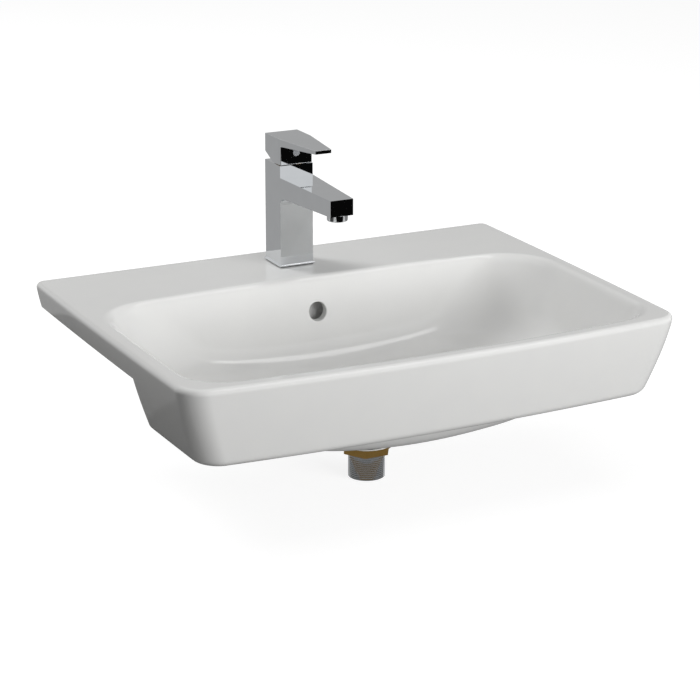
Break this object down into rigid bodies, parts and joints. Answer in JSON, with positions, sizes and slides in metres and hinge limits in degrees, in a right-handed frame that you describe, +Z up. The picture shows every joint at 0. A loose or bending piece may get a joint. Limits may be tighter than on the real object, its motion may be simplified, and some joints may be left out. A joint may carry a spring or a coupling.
{
  "type": "semi recessed basin with mixer tap",
  "caption": "White ceramic semi recessed washbasin with a square single lever mixer tap and a push waste.",
  "frame": {"origin": "middle of the rear seat strip, on the plane of the worktop that it rests on", "axes": "+X to the right seen from the front, +Y to the wall, +Z up"},
  "size_m": [0.5982, 0.4594, 0.3546],
  "materials": {
    "glazed_vitreous_china": "white vitreous china with a clear gloss glaze",
    "chrome_plated_brass": "polished brass with bright chrome plating",
    "chrome_plated_zinc": "die cast zinc with bright chrome plating",
    "black_rubber": "moulded EPDM rubber",
    "index_plastic": "glossy grey moulded plastic",
    "stainless_steel": "turned stainless steel",
    "zinc_plated_steel": "bright zinc plated steel",
    "raw_brass": "machined brass",
    "white_acetal": "moulded white acetal",
    "alumina_ceramic": "lapped alumina ceramic"
  },
  "bodies": {
    "basin_and_tap": {"basin": "glazed_vitreous_china", "tap_body": "chrome_plated_brass", "tap_base_plate": "chrome_plated_brass", "tap_base_seal": "black_rubber", "cartridge_housing": "white_acetal", "cartridge_base": "white_acetal", "cartridge_port_seals": "black_rubber", "fixed_ceramic_disc": "alumina_ceramic", "cartridge_retaining_nut": "raw_brass", "aerator_housing": "chrome_plated_brass", "aerator_insert": "white_acetal", "aerator_washer": "black_rubber", "mounting_stud": "zinc_plated_steel", "mounting_washer_rubber": "black_rubber", "mounting_washer_steel": "zinc_plated_steel", "mounting_nut": "raw_brass", "waste_body": "chrome_plated_brass", "waste_top_seal": "black_rubber", "waste_bottom_seal": "black_rubber", "waste_slip_washer": "white_acetal", "waste_backnut": "raw_brass", "plug_latch": "white_acetal"},
    "lever_turntable": {"lever_carrier": "white_acetal", "stem_pivot_pin": "stainless_steel"},
    "lever": {"lever_handle": "chrome_plated_zinc", "cartridge_stem": "raw_brass", "handle_grub_screw": "stainless_steel", "temperature_index_button": "index_plastic"},
    "mixing_disc": {"moving_ceramic_disc": "alumina_ceramic"},
    "plug": {"plug_cap": "chrome_plated_brass", "plug_seal": "black_rubber", "plug_stem": "stainless_steel"}
  },
  "joints": [
    {"name": "lever_turn", "type": "hinge", "parent": "basin_and_tap", "child": "lever_turntable", "pos_m": [0, -0.05, 0.1485], "axis": [0, 0, 1], "range_deg": [-45, 45]},
    {"name": "lever_lift", "type": "hinge", "parent": "lever_turntable", "child": "lever", "pos_m": [0, -0.05, 0.1485], "axis": [-1, 0, 0], "range_deg": [0, 22]},
    {"name": "disc_slide", "type": "slide", "parent": "lever_turntable", "child": "mixing_disc", "axis": [0, -1, 0], "range_m": [0, 0.0035]},
    {"name": "plug_press", "type": "slide", "parent": "basin_and_tap", "child": "plug", "axis": [0, 0, -1], "range_m": [0, 0.009]}
  ],
  "couplings": [
    {"joint": "disc_slide", "follows": "lever_lift", "m_per_rad": 0.0087}
  ]
}
